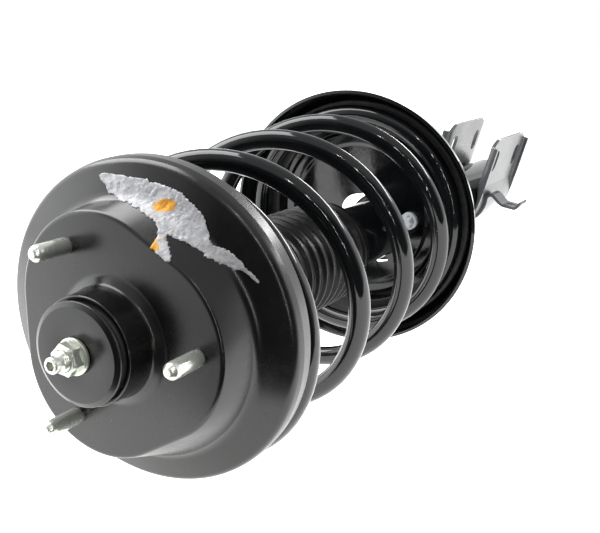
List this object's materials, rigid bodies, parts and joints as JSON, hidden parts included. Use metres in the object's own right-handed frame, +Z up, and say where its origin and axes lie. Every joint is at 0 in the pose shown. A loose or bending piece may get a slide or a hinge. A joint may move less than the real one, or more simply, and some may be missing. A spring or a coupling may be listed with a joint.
{
  "type": "suspension strut assembly",
  "caption": "Coil-over suspension strut: studded top mount, coil spring between two dished seats, bellows boot, telescopic damper and slotted clevis bracket.",
  "frame": {"origin": "centre of the box round the whole strut, on the surface it lies on", "axes": "+Y along the damper from the top mount to the clevis, +Z up, the clevis ears upward and leaning 15.5 degrees towards +X"},
  "size_m": [0.2228, 0.693, 0.2199],
  "materials": {
    "satin_black_paint": "semi-gloss electrocoat with soft orange peel",
    "gloss_black_paint": "gloss black powder coat",
    "bright_zinc": "bright zinc plate",
    "plain_steel": "oiled bare steel",
    "chromed_rod": "ground hard chrome",
    "moulded_rubber": "matt moulded rubber",
    "boot_rubber": "satin ribbed rubber",
    "cellular_foam": "cellular urethane",
    "pale_plastic": "moulded nylon"
  },
  "bodies": {
    "top_mount": {"mount_shell": "satin_black_paint", "mount_stud_1": "bright_zinc", "mount_stud_2": "bright_zinc", "mount_stud_3": "bright_zinc", "mount_bushing": "moulded_rubber", "bushing_sleeve": "plain_steel", "retainer_washer": "satin_black_paint", "lower_washer": "plain_steel", "rod_nut": "bright_zinc", "piston_rod": "chromed_rod", "rebound_stop": "moulded_rubber", "piston": "plain_steel", "piston_band": "moulded_rubber", "piston_nut": "plain_steel", "bump_stop_cup": "plain_steel", "bump_stop": "cellular_foam", "dust_boot": "boot_rubber", "upper_isolator": "moulded_rubber"},
    "spring_carriage": {"coil_spring": "gloss_black_paint"},
    "lower_strut": {"lower_isolator": "moulded_rubber", "lower_spring_seat": "gloss_black_paint", "seat_plug": "pale_plastic", "seat_collar": "gloss_black_paint", "damper_tube": "gloss_black_paint", "gland_nut": "plain_steel", "rod_seal": "moulded_rubber", "rod_guide": "plain_steel", "pressure_tube": "plain_steel", "base_valve": "plain_steel", "clevis_left": "gloss_black_paint", "clevis_right": "gloss_black_paint", "hose_bracket": "gloss_black_paint"}
  },
  "joints": [
    {"name": "strut_twist", "type": "hinge", "parent": "top_mount", "child": "spring_carriage", "pos_m": [0.01172, -0.2655, 0.09972], "axis": [0, 1, 0], "range_deg": [-8, 8], "stiffness_Nm_per_rad": 60},
    {"name": "damper_stroke", "type": "slide", "parent": "spring_carriage", "child": "lower_strut", "axis": [0, -1, 0], "range_m": [0, 0.115], "stiffness_N_per_m": 24000, "springref_m": -0.02, "deforming": ["coil_spring", "dust_boot"]}
  ]
}
